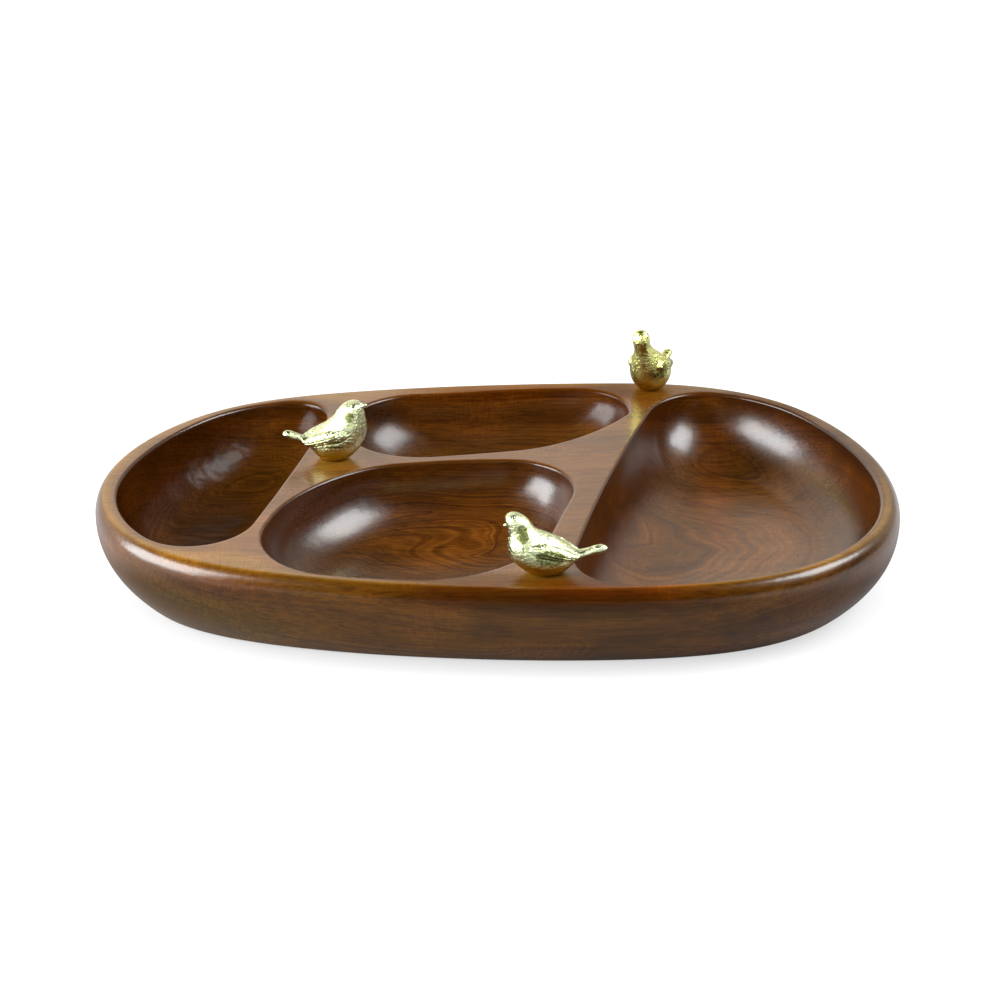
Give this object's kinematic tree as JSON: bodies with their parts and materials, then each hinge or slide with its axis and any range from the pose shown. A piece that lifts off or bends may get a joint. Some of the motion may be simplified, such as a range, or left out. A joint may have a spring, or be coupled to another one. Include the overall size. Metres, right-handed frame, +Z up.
{
  "type": "divided snack dish",
  "caption": "Rounded wooden serving dish with deep carved compartments, a flat base and small cast birds perched on its ridges and rim.",
  "frame": {"origin": "middle of the dish's outline, on the plane that the flat base rests on", "axes": "+X along the length, to the right as pictured; +Y to the back; +Z up"},
  "size_m": [0.4, 0.2673, 0.0842],
  "materials": {
    "walnut_stained_wood": "glossy lacquer over dark stained wood",
    "pale_gold_casting": "polished pale gold plating",
    "steel_stud": "plain steel"
  },
  "bodies": {
    "root": {"dish_body": "walnut_stained_wood", "bird_left": "pale_gold_casting", "bird_front": "pale_gold_casting", "bird_back": "pale_gold_casting", "stud_left": "steel_stud", "stud_front": "steel_stud", "stud_back": "steel_stud"}
  },
  "joints": []
}
